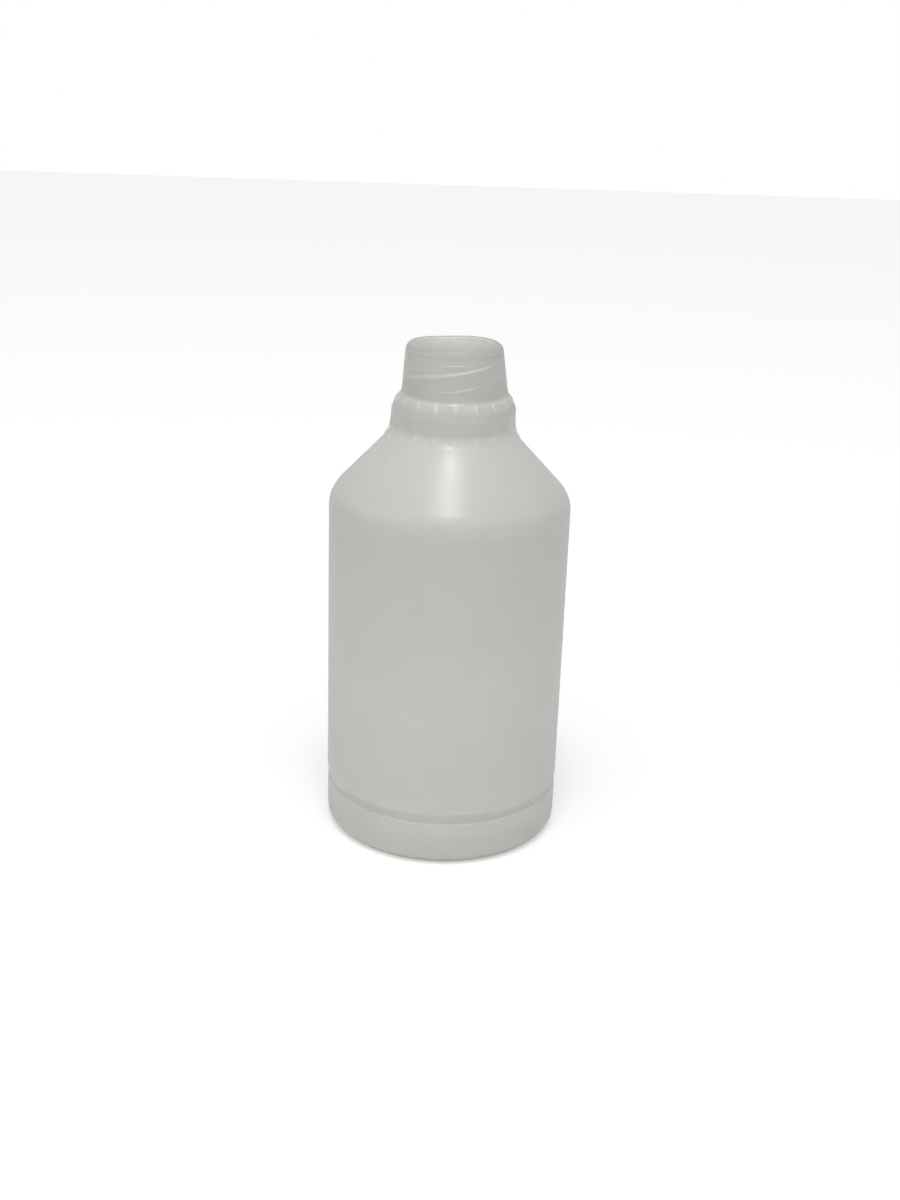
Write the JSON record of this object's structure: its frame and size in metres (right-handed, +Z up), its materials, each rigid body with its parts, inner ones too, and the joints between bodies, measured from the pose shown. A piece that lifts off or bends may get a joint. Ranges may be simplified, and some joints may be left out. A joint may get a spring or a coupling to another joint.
{
  "type": "narrow-neck plastic bottle",
  "caption": "Round blow-moulded plastic bottle with a conical shoulder, a fluted collar and a tapered screw neck with an open mouth, standing on its pushed-up foot.",
  "frame": {"origin": "centre of the foot, on the surface that the bottle stands on", "axes": "+Z up the bottle's axis, out through the mouth; -Y is the side seen first, with one ridge of the collar 3 degrees towards +X from it"},
  "size_m": [0.061, 0.061, 0.1273],
  "materials": {
    "natural_hdpe": "unpigmented high-density polyethylene, milky and translucent, with a soft satin skin"
  },
  "bodies": {
    "root": {"bottle": "natural_hdpe"}
  },
  "joints": []
}
